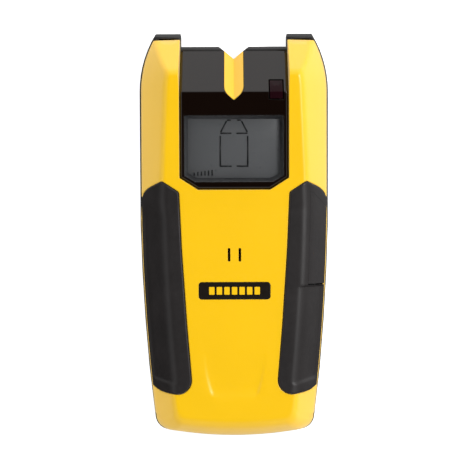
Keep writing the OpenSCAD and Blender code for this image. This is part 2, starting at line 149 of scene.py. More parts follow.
def half_outline(z, g=0.0):
    """The right half of the front housing's outline at height z, moved outward by g, from foot to horn."""
    side, foot, r = level(z, g)
    cx = float(side_x(foot + r - HALF_LEN, side)) - r
    cy = float(foot_y(cx, foot)) + r
    xs = np.linspace(0, cx, 16)[:-1]
    turn = np.radians(np.linspace(-85, 0, 27))
    taper = np.linspace(cy, TAPER_Y, 75)[1:]
    straight = np.linspace(TAPER_Y, HEAD_Y, 40)[1:]
    head = np.linspace(HEAD_Y, HORN_END_Y, 25)[1:]
    ys = np.concatenate([taper, straight, head])
    return np.concatenate([
        np.stack([xs, foot_y(xs, foot)], 1),
        np.stack([cx + r * np.cos(turn), cy + r * np.sin(turn)], 1),
        np.stack([side_x(ys, side), ys], 1),
    ])


def both_halves(half):
    """A right half that starts on the centre line, with its mirror image before it."""
    left = half[:0:-1] * [-1, 1]
    return np.concatenate([left, half])


def mirrored(points):
    return np.asarray(points)[::-1] * [-1, 1]


def rounded(corners, step=STEP):
    """A closed outline through (x, y, radius) corners, with arcs at the corners and even steps between."""
    arcs = []
    for i, (x, y, r) in enumerate(corners):
        p = np.array([x, y], float)
        back = np.array(corners[i - 1][:2], float) - p
        ahead = np.array(corners[(i + 1) % len(corners)][:2], float) - p
        room = 0.49 * min(np.linalg.norm(back), np.linalg.norm(ahead))
        back, ahead = back / np.linalg.norm(back), ahead / np.linalg.norm(ahead)
        half = math.acos(np.clip(back @ ahead, -1, 1)) / 2
        reach = min(r / math.tan(half), room) if r else 0.0
        if reach < 1e-6 or half > math.pi / 2 - 1e-3:
            arcs.append(p[None])
            continue
        r = reach * math.tan(half)
        middle = (back + ahead) / np.linalg.norm(back + ahead)
        centre = p + middle * r / math.sin(half)
        first, last = p + back * reach - centre, p + ahead * reach - centre
        a = math.atan2(first[1], first[0])
        sweep = (math.atan2(last[1], last[0]) - a + math.pi) % (2 * math.pi) - math.pi
        n = max(2, math.ceil(abs(sweep) / FILLET_TURN))
        turn = a + sweep * np.arange(n + 1) / n
        arcs.append(centre + r * np.stack([np.cos(turn), np.sin(turn)], 1))
    points = []
    for i, arc in enumerate(arcs):
        points.append(arc)
        points.append(steps(arc[-1], arcs[(i + 1) % len(arcs)][0], step)[1:-1])
    return np.concatenate(points)


def steps(a, b, step=STEP):
    """Evenly spaced points from a to b."""
    n = max(1, round(float(np.linalg.norm(np.subtract(b, a))) / step))
    return np.linspace(a, b, n + 1)


def path(points, step=STEP):
    """An open line through the points, in even steps."""
    parts = [steps(a, b, step)[:-1] for a, b in zip(points[:-1], points[1:])]
    return np.concatenate(parts + [np.array([points[-1]], float)])


def area(loop):
    x, y = loop[:, 0], loop[:, 1]
    return 0.5 * float(np.sum(x * np.roll(y, -1) - np.roll(x, -1) * y))


def offset(line, d, closed=True):
    """The line moved d to its left."""
    if closed:
        before, after = np.roll(line, 1, 0), np.roll(line, -1, 0)
    else:
        before = np.concatenate([2 * line[:1] - line[1:2], line[:-1]])
        after = np.concatenate([line[1:], 2 * line[-1:] - line[-2:-1]])
    u = (line - before) / np.linalg.norm(line - before, axis=1)[:, None]
    v = (after - line) / np.linalg.norm(after - line, axis=1)[:, None]
    normal = np.stack([-(u + v)[:, 1], (u + v)[:, 0]], 1)
    normal /= np.maximum(np.linalg.norm(normal, axis=1), 1e-9)[:, None]
    stretch = np.maximum(np.sum(normal * np.stack([-u[:, 1], u[:, 0]], 1), 1), 0.5)
    return line + normal * (d / stretch)[:, None]


def distance(points, line, closed=True):
    """How far each point is from the line."""
    a = line if closed else line[:-1]
    b = np.roll(line, -1, 0) if closed else line[1:]
    run = b - a
    square = np.maximum(np.sum(run * run, 1), 1e-12)
    out = np.empty(len(points))
    for i in range(0, len(points), 2000):
        p = points[i:i + 2000, None, :]
        t = np.clip(np.sum((p - a) * run, 2) / square, 0, 1)
        gap = p - (a + t[:, :, None] * run)
        out[i:i + 2000] = np.sqrt(np.min(np.sum(gap * gap, 2), 1))
    return out


def inside(points, loop):
    """Which points lie inside the closed loop."""
    x, y = points[:, 0], points[:, 1]
    a, b = loop, np.roll(loop, -1, 0)
    odd = np.zeros(len(points), bool)
    for (x0, y0), (x1, y1) in zip(a, b):
        if y0 == y1:
            continue
        across = (y0 > y) != (y1 > y)
        odd ^= across & (x < (x1 - x0) * (y - y0) / (y1 - y0) + x0)
    return odd


# --- Heights ---


def smooth_min(a, b, k):
    """The lower of two heights, blended where they are within k of each other."""
    h = np.clip(0.5 + 0.5 * (b - a) / k, 0, 1)
    return b + (a - b) * h - k * h * (1 - h)


def smooth_step(t):
    t = np.clip(t, 0, 1)
    return t * t * (3 - 2 * t)


def bevel_z(x, y, g):
    """Height of the front housing's side and foot surfaces over each point, moved outward by g."""
    x, y = np.abs(x), np.asarray(y, float)
    low = np.full(x.shape, PART_Z - 4.0)
    high = np.full(x.shape, PART_Z + 28.0)
    for _ in range(26):
        z = (low + high) / 2
        side, foot, r = level(z, g)
        cx = side_x(foot + r - HALF_LEN, side) - r
        cy = foot_y(cx, foot) + r
        corner = (x > cx) & (y < cy)
        within = np.where(
            corner,
            np.hypot(x - cx, y - cy) <= r,
            (x <= side_x(y, side)) & (y >= foot_y(x, foot)),
        )
        low, high = np.where(within, z, low), np.where(within, high, z)
    return low


def ramp_top(y, sink=0.0, crest_y=CREST_Y, fall=HORN_FALL, k=2.4):
    """A surface that runs flat along the handle, ramps up to a crest and falls to the horns."""
    rise = HANDLE_Z - sink + RAMP * np.maximum(y - RAMP_Y, 0)
    crest = HANDLE_Z - sink + RAMP * (crest_y - RAMP_Y)
    return smooth_min(rise, crest - (y - crest_y) * fall, k)


def panel_top(y, k=0.4):
    return ramp_top(y, PANEL_SINK, PANEL_CREST_Y, PANEL_FALL, k)


def ridge_lines(top, offsets, g=0.0):
    """Lines beside the ridge where the bevel meets the top: at each, the bevel is that much higher."""
    levels = np.arange(PART_Z - 1, PART_Z + 26, 0.25)
    table = np.array([half_outline(z, g) for z in levels])
    over = levels[:, None] - top(table[:, :, 1])
    column = np.arange(table.shape[1])
    lines = []
    for c in offsets:
        k = np.clip(np.argmax(over > c, 0), 1, len(levels) - 1)
        lower, upper = over[k - 1, column], over[k, column]
        t = np.clip((c - lower) / (upper - lower), 0, 1)[:, None]
        lines.append(table[k - 1, column] * (1 - t) + table[k, column] * t)
    return lines


# --- Meshes ---


def triangulate(loops, lines, spots):
    """Points and triangles that fill the first loop, leave the others open and follow every line."""
    points, edges = [], []
    for line, closed in [(loop, True) for loop in loops] + [(line, False) for line in lines]:
        first, n = len(points), len(line)
        points.extend(map(tuple, line))
        edges.extend((first + i, first + (i + 1) % n) for i in range(n if closed else n - 1))
    points.extend(map(tuple, spots))
    found = delaunay_2d_cdt([Vector(p) for p in points], edges, [], 0, 1e-5)
    xy = np.array([tuple(v) for v in found[0]])
    tris = np.array([f for f in found[2] if len(f) == 3])
    middle = xy[tris].mean(1)
    keep = inside(middle, loops[0])
    for loop in loops[1:]:
        keep &= ~inside(middle, loop)
    tris = tris[keep]
    a, b, c = xy[tris[:, 0]], xy[tris[:, 1]], xy[tris[:, 2]]
    turn = (b - a)[:, 0] * (c - a)[:, 1] - (b - a)[:, 1] * (c - a)[:, 0]
    tris[turn < 0] = tris[turn < 0][:, ::-1]
    tris = tris[np.abs(turn) > 1e-9]
    used = np.unique(tris)
    number = np.full(len(xy), -1)
    number[used] = np.arange(len(used))
    return xy[used], number[tris]


def grid_spots(loops, lines, spacing):
    """A staggered grid of points inside the first loop, clear of every loop and line."""
    low, high = loops[0].min(0), loops[0].max(0)
    rows = np.arange(low[1], high[1], spacing * 0.866)
    spots = [
        (x, y)
        for i, y in enumerate(rows)
        for x in np.arange(low[0] + (i % 2) * spacing / 2, high[0], spacing)
    ]
    spots = np.array(spots)
    keep = inside(spots, loops[0])
    for loop in loops[1:]:
        keep &= ~inside(spots, loop)
    spots = spots[keep]
    far = np.ones(len(spots), bool)
    for line, closed in [(loop, True) for loop in loops] + [(line, False) for line in lines]:
        far &= distance(spots, line, closed) > CLEAR * spacing
    return spots[far]


def round_over(d, r):
    """How far a rounded edge of radius r has dropped at distance d from the edge."""
    return r - np.sqrt(np.maximum(r * r - np.maximum(r - d, 0) ** 2, 0))


RIM_TURNS = (0.0, 22.5, 45.0, 67.5, 90.0)


def rim_lines(line, r, closed):
    """Lines that follow a rounded edge, from the edge inward."""
    reach = [r * (1 - math.cos(math.radians(a))) for a in RIM_TURNS[1:]] + [1.5 * r]
    made = [offset(line, d, closed) for d in reach]
    return [np.concatenate([m, m[:1]]) if closed else m for m in made]


def mesh_object(name, verts, faces):
    """A mesh object from points in millimetres, smooth except at edges sharper than SMOOTH_ANGLE."""
    mesh = bpy.data.meshes.new(name)
    mesh.from_pydata([tuple(v) for v in np.asarray(verts) * MM], [], [list(map(int, f)) for f in faces])
    mesh.validate()
    bm = bmesh.new()
    bm.from_mesh(mesh)
    bmesh.ops.remove_doubles(bm, verts=bm.verts, dist=2e-7)
    for edge in bm.edges:
        edge.smooth = not edge.is_manifold or edge.calc_face_angle(0) < SMOOTH_ANGLE
    for face in bm.faces:
        face.smooth = True
    bm.to_mesh(mesh)
    bm.free()
    obj = bpy.data.objects.new(name, mesh)
    bpy.context.scene.collection.objects.link(obj)
    return obj


def moulding(name, loops, top, under, rims=(), lines=(), spacing=2.0, feet=()):
    """A closed moulded piece: a top sheet over loops[0], an under sheet, and walls round every loop.

    rims are (line, closed, radius) edges to round, with the piece on the line's left. feet are
    (line, move) pairs: the walls that start on that line stand on points that move gives.
    """
    loops = [loop if (area(loop) > 0) == (i == 0) else loop[::-1] for i, loop in enumerate(loops)]
    lines = list(lines)
    for line, closed, r in rims:
        lines += rim_lines(line, r, closed)
    xy, tris = triangulate(loops, lines, grid_spots(loops, lines, spacing))
    x, y = xy[:, 0], xy[:, 1]
    bottom = under(x, y)
    height = top(x, y)
    for line, closed, r in rims:
        height = height - round_over(distance(xy, line, closed), r)
    height = np.maximum(height, bottom + 0.03)
    verts = [np.column_stack([xy, height]), np.column_stack([xy, bottom])]
    n = len(xy)
    faces = [tuple(t) for t in tris] + [(t[2] + n, t[1] + n, t[0] + n) for t in tris]
    count = 2 * n
    foot_of = {}
    for line, move in feet:
        near = np.nonzero(distance(xy, line, False) < 1e-3)[0]
        for i in near:
            foot_of[int(i)] = count
            verts.append(np.array([move(x[i], y[i])]))
            count += 1
    sides = {}
    for a, b, c in tris:
        for e in ((a, b), (b, c), (c, a)):
            ends = tuple(sorted(map(int, e)))
            sides[ends] = None if ends in sides else tuple(map(int, e))
    for e in sides.values():
        if e is None:
            continue
        a, b = e
        if a in foot_of and b in foot_of:
            faces.append((b, a, foot_of[a], foot_of[b]))
            faces.append((foot_of[b], foot_of[a], a + n, b + n))
        else:
            faces.append((b, a, a + n, b + n))
    return mesh_object(name, np.concatenate(verts), faces)


def join(obj, *others):
    """Joins the other mesh objects into obj."""
    bm = bmesh.new()
    bm.from_mesh(obj.data)
    for other in others:
        bm.from_mesh(other.data)
        bpy.data.objects.remove(other)
    bm.to_mesh(obj.data)
    bm.free()
    return obj


# --- Materials ---


class Nodes:
    """A short way to write a node material."""

    def __init__(self, name):
        self.material = bpy.data.materials.new(name)
        self.material.use_nodes = True
        self.tree = self.material.node_tree
        self.shader = self.tree.nodes["Principled BSDF"]
        self.place = self.node("ShaderNodeTexCoord").outputs["Object"]

    def node(self, kind, **settings):
        made = self.tree.nodes.new(kind)
        for key, value in settings.items():
            setattr(made, key, value)
        return made

    def link(self, a, b):
        self.tree.links.new(a, b)

    def noise(self, scale, detail=2.0, rough=0.5, stretch=None):
        """Noise of a given number of grains in a metre."""
        place = self.place
        if stretch:
            mapping = self.node("ShaderNodeMapping")
            mapping.inputs["Scale"].default_value = stretch
            self.link(place, mapping.inputs["Vector"])
            place = mapping.outputs["Vector"]
        made = self.node("ShaderNodeTexNoise")
        self.link(place, made.inputs["Vector"])
        made.inputs["Scale"].default_value = scale
        made.inputs["Detail"].default_value = detail
        made.inputs["Roughness"].default_value = rough
        return made.outputs["Fac"]

    def spread(self, value, low, high, start=0.3, end=0.7):
        """Maps a noise value to the range from low to high."""
        made = self.node("ShaderNodeMapRange")
        self.link(value, made.inputs["Value"])
        made.inputs["From Min"].default_value = start
        made.inputs["From Max"].default_value = end
        made.inputs["To Min"].default_value = low
        made.inputs["To Max"].default_value = high
        return made.outputs["Result"]

    def tones(self, value, dark, light):
        """A colour between dark and light."""
        made = self.node("ShaderNodeMix", data_type="RGBA")
        self.link(value, made.inputs["Factor"])
        made.inputs["A"].default_value = (*dark, 1)
        made.inputs["B"].default_value = (*light, 1)
        return made.outputs["Result"]

    def bump(self, *layers):
        """Stacks (height value, strength, depth in metres) layers into the shader's normal."""
        normal = None
        for value, strength, depth in layers:
            made = self.node("ShaderNodeBump")
            made.inputs["Strength"].default_value = strength
            made.inputs["Distance"].default_value = depth
            self.link(value, made.inputs["Height"])
            if normal:
                self.link(normal, made.inputs["Normal"])
            normal = made.outputs["Normal"]
        self.link(normal, self.shader.inputs["Normal"])

    def set(self, **values):
        for key, value in values.items():
            self.shader.inputs[key.replace("_", " ")].default_value = value


def scaled(colour, k):
    return tuple(c * k for c in colour)


def plastic(name, colour, rough, grain=0.1, grain_scale=2600, mottle=0.04, gloss=0.5, sheen=0.0):
    """Moulded plastic: a fine texture, slight colour drift, uneven gloss and, if asked, a pale sheen."""
    m = Nodes(name)
    drift = m.spread(m.noise(55, 3), 0, 1)
    shade = m.tones(drift, scaled(colour, 1 - mottle), scaled(colour, 1 + mottle / 2))
    m.link(shade, m.shader.inputs["Base Color"])
    m.link(m.spread(m.noise(900, 4), rough * 0.9, rough * 1.12), m.shader.inputs["Roughness"])
    m.bump((m.noise(grain_scale, 2), grain, 0.00004), (m.noise(160, 2), 0.03, 0.0002))
    m.set(IOR=1.5, Specular_IOR_Level=gloss, Sheen_Weight=sheen, Sheen_Roughness=0.45)
    return m.material


def rubber(name, colour):
    """Over-moulded rubber: matt, finely pebbled, with slightly rubbed patches."""
    m = Nodes(name)
    worn = m.spread(m.noise(70, 4, 0.6), 0, 1, 0.35, 0.7)
    m.link(m.tones(worn, scaled(colour, 0.86), scaled(colour, 1.14)), m.shader.inputs["Base Color"])
    m.link(m.spread(m.noise(420, 3), 0.41, 0.47), m.shader.inputs["Roughness"])
    m.bump((m.noise(3400, 2), 0.15, 0.00005), (m.noise(600, 2), 0.03, 0.0001))
    m.set(IOR=1.5, Specular_IOR_Level=0.35)
    return m.material


def metal(name, colour, rough, brushed=(1, 1, 1)):
    """Metal with fine machining marks."""
    m = Nodes(name)
    marks = m.noise(1500, 3, 0.6, brushed)
    m.link(m.tones(m.spread(marks, 0, 1), scaled(colour, 0.85), colour), m.shader.inputs["Base Color"])
    m.link(m.spread(marks, rough * 0.75, rough * 1.25), m.shader.inputs["Roughness"])
    m.bump((marks, 0.15, 0.00003))
    m.set(Metallic=1.0)
    return m.material


def see_through(name, colour, rough, alpha):
    """Clear or tinted plastic that light passes straight through."""
    m = Nodes(name)
    shade = m.tones(m.spread(m.noise(90, 2), 0, 1), scaled(colour, 0.95), colour)
    m.link(shade, m.shader.inputs["Base Color"])
    m.link(m.spread(m.noise(700, 3), rough * 0.8, rough * 1.3), m.shader.inputs["Roughness"])
    m.set(IOR=1.5, Alpha=alpha)
    return m.material


def circuit(name):
    """Green solder mask with the faint relief of the tracks under it."""
    m = Nodes(name)
    tracks = m.noise(380, 1, 0.3, (1, 3, 1))
    mask = m.tones(m.spread(tracks, 0, 1, 0.45, 0.55), (0.008, 0.07, 0.025), (0.018, 0.13, 0.05))
    m.link(mask, m.shader.inputs["Base Color"])
    m.link(m.spread(m.noise(900), 0.25, 0.4), m.shader.inputs["Roughness"])
    m.bump((tracks, 0.2, 0.00004))
    return m.material


YELLOW = (1.0, 0.59, 0.0)
BLACK = (0.012, 0.011, 0.011)
MATERIALS = {
    "yellow_abs": plastic("yellow_abs", YELLOW, 0.34, 0.10, mottle=0.02, sheen=0.42),
    "black_abs": plastic("black_abs", BLACK, 0.42, 0.2),
    "grip_rubber": rubber("grip_rubber", (0.0155, 0.013, 0.013)),
    "key_rubber": rubber("key_rubber", (0.0158, 0.0132, 0.0135)),
    "black_gloss": plastic("black_gloss", (0.006, 0.003, 0.002), 0.05, 0.01, 600),
    "clear_window": see_through("clear_window", (0.01, 0.01, 0.012), 0.04, 0.12),
    "grey_plastic": plastic("grey_plastic", (0.075, 0.078, 0.082), 0.4, 0.1),
    "lcd_glass": plastic("lcd_glass", (0.145, 0.15, 0.155), 0.3, 0.02, 900, mottle=0.03),
    "lcd_ink": plastic("lcd_ink", (0.004, 0.005, 0.006), 0.4, 0.02),
    "white_plastic": plastic("white_plastic", (0.8, 0.8, 0.78), 0.4, 0.1),
    "contact_rubber": rubber("contact_rubber", (0.5, 0.27, 0.27)),
    "red_lens": plastic("red_lens", (0.014, 0.003, 0.005), 0.06, 0.01, 600, gloss=0.07),
    "red_led": see_through("red_led", (0.5, 0.02, 0.03), 0.1, 0.85),
    "badge_brown": plastic("badge_brown", (0.009, 0.006, 0.004), 0.35, 0.15, gloss=0.25),
    "label_foil": metal("label_foil", (0.55, 0.55, 0.56), 0.4, (1, 12, 1)),
    "black_part": plastic("black_part", (0.02, 0.02, 0.021), 0.5, 0.2),
    "circuit_green": circuit("circuit_green"),
    "copper": metal("copper", (0.72, 0.35, 0.2), 0.3, (1, 8, 1)),
    "ceramic_tan": plastic("ceramic_tan", (0.45, 0.33, 0.2), 0.35, 0.1),
    "battery_steel": plastic("battery_steel", (0.02, 0.024, 0.032), 0.25, 0.05),
    "cell_fill": metal("cell_fill", (0.5, 0.5, 0.52), 0.4, (1, 1, 8)),
    "nickel": metal("nickel", (0.75, 0.72, 0.68), 0.2),
    "red_pvc": plastic("red_pvc", (0.5, 0.01, 0.01), 0.4, 0.1),
    "black_pvc": plastic("black_pvc", (0.012, 0.012, 0.012), 0.4, 0.1),
    "pad_foam": rubber("pad_foam", (0.03, 0.03, 0.032)),
    "screw_steel": metal("screw_steel", (0.45, 0.45, 0.47), 0.3),
}


def dress(obj, slot, body, *replaced):
    """Gives a piece its material, slot and body, and hides the CAD nodes that it stands for."""
    obj.data.materials.clear()
    obj.data.materials.append(MATERIALS[slot])
    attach(obj, body)
    if replaced:
        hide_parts(*replaced)


# --- Front housing ---

# Lines of points across a blended ridge, in blend widths, and the blend width of the housing's ridge
RIDGE_SPREAD = (-1.3, -1.0, -0.66, -0.33, 0.0, 0.33, 0.66, 1.0, 1.3)
RIDGE_K = 2.6

# Thumb recess
RECESS_HEAD_Y = -44.0
RECESS_LEN = 20.0
RECESS_HEAD_HALF = 12.8
RECESS_TAPER = 3.6
RECESS_WALL = 1.9
RECESS_FOOT_WALL = 3.2
RECESS_DEPTH = 0.6

# Display bay: half its width, the y of its foot, and the corner cut from its foot
BAY_HALF = PANEL_HALF + 0.2
BAY_FOOT_Y = 17.4
BAY_CUT_X = 14.1
BAY_CUT_Y = 22
BAY_DEPTH = 1.2
CUT_AWAY = (0.55, -0.83)

# Sound slots
SLOT_X = 2.1
SLOT_HALF = 0.5
SLOT_Y = (-10.6, -5.4)

# The right grip's edge on the housing, as (x, y, corner radius) from the side's head end to its foot end
GRIP_CORNERS = (
    (45, 5.5, 0), (37.4, 6.5, 3), (37.1, 17.0, 8), (28.2, 20.7, 1), (21.6, 16.4, 1.4),
    (20.6, -6, 200), (18.65, -35, 200), (16.3, -63.1, 5.5), (29.9, -61.5, 8), (45, -50.7, 0),
)

# Heights of the rings of points round the housing's sides
RING_Z = (14.5, 17.5, 20.5, 23.0)

# How far the front housing is drawn in round its head, so that the rear housing shows as a dark edge
LEDGE = 0.35


def recess_half(y):
    """Half width of the thumb recess, which narrows towards its foot."""
    t = np.clip((RECESS_HEAD_Y - np.asarray(y, float)) / RECESS_LEN, 0, 1)
    return RECESS_HEAD_HALF - RECESS_TAPER * t * t


def thumb_recess(x, y):
    """Depth of the shallow thumb recess: flush at its top, deepest at its foot."""
    t = np.clip((RECESS_HEAD_Y - y) / RECESS_LEN, 0, 1)
    side = smooth_step((recess_half(y) - np.abs(x)) / RECESS_WALL)
    foot = smooth_step((y - RECESS_HEAD_Y + RECESS_LEN) / RECESS_FOOT_WALL)
    return RECESS_DEPTH * t * side * foot


def front_top(x, y):
    return smooth_min(bevel_z(x, y, 0), ramp_top(y), RIDGE_K) - thumb_recess(x, y)


def front_under(x, y):
    inner = np.minimum(bevel_z(x, y, -WALL), ramp_top(y) - WALL)
    return np.maximum(inner, PART_Z)


def bay_outline():
    """The right half of the display bay's edge, from the centre line to the horn's end."""
    return np.array([
        [0, BAY_FOOT_Y], [BAY_CUT_X, BAY_FOOT_Y], [BAY_HALF, BAY_CUT_Y], [BAY_HALF, HORN_END_Y],
    ])


def bay_lean(y):
    """How far the bay's wall leans back from its foot to its top edge."""
    return 0.04 + 0.03 * (ramp_top(y) - panel_top(y))


def bay_edge():
    """The bay's edge on the rails, from the left horn round the foot of the bay to the right horn."""
    half = path(bay_outline())[1:]
    lean = bay_lean(half[:, 1])
    on_side = half[:, 1] > BAY_CUT_Y
    flat = half[:, 0] <= BAY_CUT_X
    away = np.where(on_side[:, None], [1, 0], np.where(flat[:, None], [0, -1], CUT_AWAY))
    line = half + away * lean[:, None]
    return np.concatenate([line[::-1] * [-1, 1], [[0, BAY_FOOT_Y - bay_lean(BAY_FOOT_Y)]], line])


def bay_foot(x, y):
    """Where the bay's wall meets the panel."""
    lean = float(bay_lean(y))
    z = float(panel_top(y)) - BAY_DEPTH
    if y > BAY_CUT_Y - 0.1:
        return x - math.copysign(lean, x), y, max(z, PART_Z)
    if abs(x) > BAY_CUT_X + 0.1:
        return x - math.copysign(lean * CUT_AWAY[0], x), y - lean * CUT_AWAY[1], z
    return x, y + lean, z


def grip_edge(g):
    """The right grip's edge on the housing, moved outward by g."""
    loop = rounded(GRIP_CORNERS, 0.7)
    start, end = (int(np.argmin(np.hypot(*(loop - GRIP_CORNERS[i][:2]).T))) for i in (0, -1))
    line = np.roll(loop, -start, 0)[:(end - start) % len(loop) + 1]
    return offset(line, -g, closed=False)


def grip_loop(g, z, surface):
    """The whole grip outline: its edge on the housing, closed by the body's outline at height z."""
    outer = half_outline(z, surface)
    edge = grip_edge(g)
    drawn_in = level(z, surface)[0]
    edge = edge[edge[:, 0] < side_x(edge[:, 1], drawn_in)]
    low, high = edge[-1, 1], edge[0, 1]
    between = (outer[:, 1] > low + 0.3) & (outer[:, 1] < high - 0.3) & (outer[:, 0] > 30)
    ends = [[float(side_x(y, drawn_in)), y] for y in (low + 0.15, high - 0.15)]
    return np.concatenate([edge, ends[:1], outer[between], ends[1:]]), edge


def box_loop(low, high, r, step=STEP):
    """A rectangle with rounded corners."""
    return rounded([(*low, r), (high[0], low[1], r), (*high, r), (low[0], high[1], r)], step)


def badge_loop(g):
    low, high = cad_box("badge_plate")
    return box_loop(low[:2] - g, high[:2] + g, 1.2 + g)


def ridge_area_lines(top, g=0.0):
    """Lines of points along the housing's ridge and rings round its sides."""
    spread = [c * RIDGE_K for c in RIDGE_SPREAD]
    lines = [both_halves(line) for line in ridge_lines(top, spread, g)]
    for z in RING_Z:
        ring = half_outline(z, g)
        ring = ring[z < top(ring[:, 1]) - RIDGE_K]
        lines.append(both_halves(ring))
    return lines


def front_housing():
    half = half_outline(PART_Z)
    ledge = LEDGE * smooth_step((half[:, 1] - 6) / 8)
    outer = both_halves(half - half / np.hypot(*half.T)[:, None] * ledge[:, None])
    bay = bay_edge()
    horn_ends = [steps(outer[-1], bay[-1])[1:-1], steps(bay[0], outer[0])[1:-1]]
    outline = np.concatenate([outer, horn_ends[0], bay[::-1], horn_ends[1]])
    right_hole, right_edge = grip_loop(0.1, GRIP_Z - 0.05, 0.0)
    holes = [right_hole, mirrored(right_hole), badge_loop(0.1)]
    sound = [
        box_loop((x - SLOT_HALF, SLOT_Y[0]), (x + SLOT_HALF, SLOT_Y[1]), 0.35, 0.5)
        for x in (-SLOT_X, SLOT_X)
    ]
    rims = [
        (bay[::-1], False, 0.22),
        (right_edge[::-1], False, 0.28),
        (mirrored(right_edge)[::-1], False, 0.28),
        (badge_loop(0.1)[::-1], True, 0.12),
    ] + [(loop[::-1], True, 0.1) for loop in sound]
    lines = ridge_area_lines(ramp_top)
    for c in RIDGE_SPREAD:
        y = CREST_Y + 1.2 * c
        lines += [steps((x * 21.6, y), (x * 28.6, y), 0.7) for x in (-1, 1)]
    ys = np.arange(RECESS_HEAD_Y - RECESS_LEN, RECESS_HEAD_Y, STEP)
    for k in np.linspace(0, RECESS_WALL, 5):
        lines += [np.stack([x * (recess_half(ys) - k), ys], 1) for x in (-1, 1)]
    return moulding(
        "front_housing", [outline] + holes + sound, front_top, front_under, rims, lines, 2.2,
        feet=[(bay, bay_foot)],
    )


def notch_guide():
    """The V groove that a pencil follows, standing in the panel's gap."""
    half = NOTCH_HALF + 0.1
    tip_z = float(panel_top(NOTCH_TIP_Y))
    mouth_y = NOTCH_TIP_Y + (tip_z - PART_Z) / PANEL_FALL
    end_y = mouth_y + half / NOTCH_RATIO
    loop = rounded([
        (half, PANEL_CREST_Y, 5), (half, end_y, 0), (0, mouth_y, 0.3), (-half, end_y, 0),
        (-half, PANEL_CREST_Y, 5), (0, NOTCH_TIP_Y - 0.12, 0.4),
    ], 0.5)

    def top(x, y):
        across = np.sqrt(x * x + 0.02) - 0.14
        wall = tip_z - PANEL_FALL * (y - NOTCH_TIP_Y - across / NOTCH_RATIO)
        return np.maximum(smooth_min(wall, panel_top(y), 0.35), PART_Z)

    def under(x, y):
        groove = tip_z - PANEL_FALL * (y - NOTCH_TIP_Y)
        return np.maximum(np.minimum(panel_top(y), groove) - NOTCH_THICK, PART_Z - 0.02)

    lines = [
        steps((x, NOTCH_TIP_Y + 0.6 + abs(x)), (x, mouth_y - 0.4 + abs(x)), 0.6)
        for x in (-0.4, -0.13, 0.0, 0.13, 0.4)
    ]
    return moulding("notch_guide", [loop], top, under, [(loop, True, 0.18)], lines, 0.8)


# --- Grips and key ---

# Grips: the blend width of their ridge, and the finger hollow's foot, rise and fade towards the lip
GRIP_K = 4.6
HOLLOW_FOOT_X = 20
HOLLOW_FOOT_Y = -59.8
HOLLOW_LEAN = 0.2
HOLLOW_RISE = 1.8
HOLLOW_LIP = 3.5

# Key: its outline, the gap round it, the slit at its foot and how far it is pressed
KEY_FOOT_Y = cad_box("key_cap")[0][1]
KEY_LOW_Z = GRIP_Z + 0.6
KEY_HEAD_Y = 11.0
KEY_HEAD_LEAN = 0.49
KEY_GAP = 0.06
KEY_SLIT = 0.45
KEY_TOP_Z = 27.4
KEY_TRAVEL = 0.8

# Where each grip's finger hollow ends towards the head, and over what length it fades out
KEY_HOLLOW_END = (KEY_FOOT_Y - 0.2, 0.5)
PLAIN_HOLLOW_END = (13.0, 8.0)


def hollow_foot(x):
    """Where the finger hollow begins: a line that slopes across the grip's foot."""
    return HOLLOW_FOOT_Y + (x - HOLLOW_FOOT_X) * HOLLOW_LEAN


def grip_surface(x, y, hollow_top, hollow_fade):
    """Height of a grip: its side is hollowed for the fingers between its foot and hollow_top."""
    low_end = smooth_step((y - hollow_foot(x)) / HOLLOW_RISE)
    high_end = smooth_step((hollow_top - y) / hollow_fade)
    side = bevel_z(x, y, GRIP_PROUD)
    hollow = HOLLOW_DEPTH * low_end * high_end * smooth_step((side - GRIP_Z) / HOLLOW_LIP)
    drop = side - bevel_z(x, y, GRIP_PROUD - HOLLOW_DEPTH)
    return smooth_min(side - drop * hollow / HOLLOW_DEPTH, ramp_top(y) + GRIP_PROUD, GRIP_K)


def grip_key_under(x, y):
    """Underside of the right grip, raised along the key's inner edge so that the key can pass under it."""
    clear = grip_surface(x + KEY_TRAVEL - 0.14, y, *KEY_HOLLOW_END)
    edge = side_x(y, level(KEY_TOP_Z + KEY_GAP, GRIP_PROUD)[0])
    near = (x > edge - KEY_TRAVEL - 0.4) & (x < edge + 0.1) & (y > KEY_FOOT_Y - 0.5) & (y < 18.5)
    return np.where(near, np.maximum(grip_under(x, y), clear), grip_under(x, y))


def grip_under(x, y):
    inner = np.minimum(bevel_z(x, y, -POCKET), ramp_top(y) - POCKET)
    return np.maximum(inner, GRIP_Z)


def key_edge(g):
    """The key's outline in plan, from the outline of its slot on the grip's side."""
    z = np.array([KEY_LOW_Z - g, KEY_TOP_Z + g])
    y_top = KEY_HEAD_Y + KEY_HEAD_LEAN * (z - KEY_LOW_Z) + g
    y_foot = KEY_FOOT_Y + (KEY_SLIT if g == 0 else -0.1)

    def at(y, height):
        return float(side_x(y, level(height, GRIP_PROUD)[0])), y

    lower = [at(y, z[0]) for y in np.linspace(y_foot, y_top[0], 45)]
    head = zip(np.linspace(y_top[0], y_top[1], 14), np.linspace(z[0], z[1], 14))
    rising = [at(y, h) for y, h in head][1:]
    upper = [at(y, z[1]) for y in np.linspace(y_top[1], y_foot, 50)][1:]
    falling = [at(y_foot, h) for h in np.linspace(z[1], z[0], 12)][1:-1]
    return np.array(lower + rising + upper + falling)


